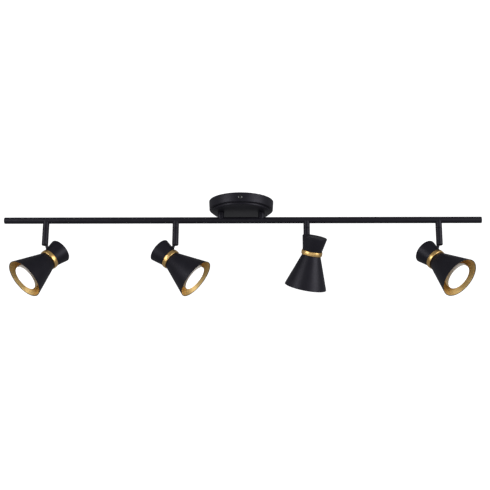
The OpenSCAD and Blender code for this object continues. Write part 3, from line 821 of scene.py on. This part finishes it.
def make_lens(n):
    """Slightly domed frosted face of the bulb."""
    where = head_axis(n)
    node = f"bulb_lens_{n}"
    low, high = heights(node, where)
    radius = np.hypot(*local_points(node, where)[:, :2].T).max() - 0.05 * MM
    dome = 1.2 * MM
    sphere = (radius ** 2 + dome ** 2) / (2 * dome)
    lift = math.degrees(math.asin(radius / sphere))
    face = arc((0, low + sphere), sphere, -90, -90 + lift, 24)
    outline = [(max(r, 0.0), z) for r, z in face] + [(radius, high), (0, high)]
    outline[0] = (0, low)
    lens = lathe(f"lens_face_{n}", where, outline, TURN_STEPS, closed=False)
    return finish_piece(lens, f"bulb_{n}", "bulb_lens", LENS, node)


make_canopy()
make_canopy_screws()
make_posts()
make_bar()
make_end_caps()
make_collars()
for head in HEADS:
    make_stem(head)
    make_tongue(head)
    make_upper_shade(head)
    make_waist_ring(head)
    make_lower_shade(head)
    make_reflector(head)
    make_bulb(head)
    make_lens(head)
    dress_node(f"tilt_pin_{head}", BLACK)
    dress_node(f"holder_bracket_{head}", STEEL)
    dress_node(f"lampholder_{head}", CERAMIC)
    dress_node(f"head_leads_{head}", SLEEVE)
for node_name, look in (("mounting_bracket", STEEL), ("ground_screw", GREEN), ("supply_leads", INSULATION),
                        ("wire_nuts", CONNECTOR), ("post_nuts", STEEL), ("set_screws", SCREW)):
    dress_node(node_name, look)


# ---------- stage, light and camera ----------

def plain(name, colour, rough=0.9, glow=0.0):
    surface = Surface(name, Roughness=rough, Metallic=0.0)
    surface.shader.inputs["Base Color"].default_value = (*colour, 1)
    surface.shader.inputs["Emission Color"].default_value = (1, 1, 1, 1)
    surface.shader.inputs["Emission Strength"].default_value = glow
    return surface.material


def make_stage():
    """A pale floor that sweeps up into a white wall far behind."""
    floor_z, wall_y, bend = -1.3, 3.2, 1.0
    half = 7.0
    profile = [(-6.0, floor_z), (wall_y - bend, floor_z)]
    profile += [(wall_y - bend + bend * math.sin(a), floor_z + bend - bend * math.cos(a))
                for a in np.linspace(0, math.pi / 2, 16)[1:]]
    profile += [(wall_y, 4.0)]
    sweep = bmesh.new()
    rows = [[sweep.verts.new((x, y, z)) for x in (-half, half)] for y, z in profile]
    for a, b in zip(rows, rows[1:]):
        sweep.faces.new((a[0], a[1], b[1], b[0]))
    mesh = bpy.data.meshes.new("sweep")
    sweep.to_mesh(mesh)
    sweep.free()
    smooth(mesh, math.radians(60))
    mesh.materials.append(plain("pale_sweep", (0.6, 0.6, 0.6), glow=0.92))
    stage = add_piece("sweep", mesh, Matrix.Identity(4))
    stage.visible_glossy = False
    stage.visible_diffuse = False


def area_light(name, where, aim, size, power, colour=(1, 1, 1)):
    light = bpy.data.lights.new(name, "AREA")
    light.shape = "RECTANGLE"
    light.size, light.size_y = size
    light.energy = power
    light.color = colour
    lamp = bpy.data.objects.new(name, light)
    lamp.location = where
    lamp.rotation_euler = (Vector(aim) - Vector(where)).to_track_quat("-Z", "Y").to_euler()
    bpy.context.scene.collection.objects.link(lamp)
    return lamp


def make_lights():
    area_light("right_box", (2.2, -1.5, 0.1), (0, 0, -0.1), (1.7, 1.8), 38)
    area_light("left_box", (-1.9, -1.6, 0.1), (0, 0, -0.1), (1.1, 1.8), 24)
    area_light("low_front", (0.0, -1.7, -1.0), (0, 0, -0.1), (2.2, 0.6), 3)
    world = bpy.data.worlds.new("soft_room")
    world.use_nodes = True
    sky = world.node_tree.nodes["Background"]
    sky.inputs["Color"].default_value = (0.86, 0.87, 0.9, 1)
    sky.inputs["Strength"].default_value = 0.27
    bpy.context.scene.world = world


def make_camera():
    """Below the bar and a little to its right, as far off as the photograph's view."""
    distance, below, right = 1.8, math.radians(16.3), math.radians(2.0)
    pitch, yaw, roll = math.radians(14.83), -right, math.radians(0.46)
    focal_px, frame_px, centre_px = 968.8, 490, -1.97
    bar_centre = Vector((0, 0, BAR_Z))
    off_middle = 1.5 * MM
    eye = bar_centre + Vector((distance * math.sin(right) + off_middle,
                               -distance * math.cos(below), -distance * math.sin(below)))
    ahead = Vector((math.sin(yaw) * math.cos(pitch), math.cos(yaw) * math.cos(pitch), math.sin(pitch)))
    level = ahead.cross(UP).normalized()
    above = level.cross(ahead)
    x = level * math.cos(roll) + above * math.sin(roll)
    y = above * math.cos(roll) - level * math.sin(roll)
    turned = Matrix((x, y, -ahead)).transposed().to_4x4()
    data = bpy.data.cameras.new("camera")
    data.sensor_width = 36
    data.lens = focal_px / frame_px * data.sensor_width
    data.shift_x = -centre_px / frame_px
    data.clip_start = 0.05
    camera = bpy.data.objects.new("camera", data)
    camera.matrix_world = Matrix.Translation(eye) @ turned
    bpy.context.scene.collection.objects.link(camera)
    bpy.context.scene.camera = camera


make_stage()
make_lights()
make_camera()
bpy.context.scene.view_settings.view_transform = "Standard"


def corners(bounds):
    return [[round(float(c), 6) for c in corner] for corner in bounds]


bpy.context.view_layer.update()
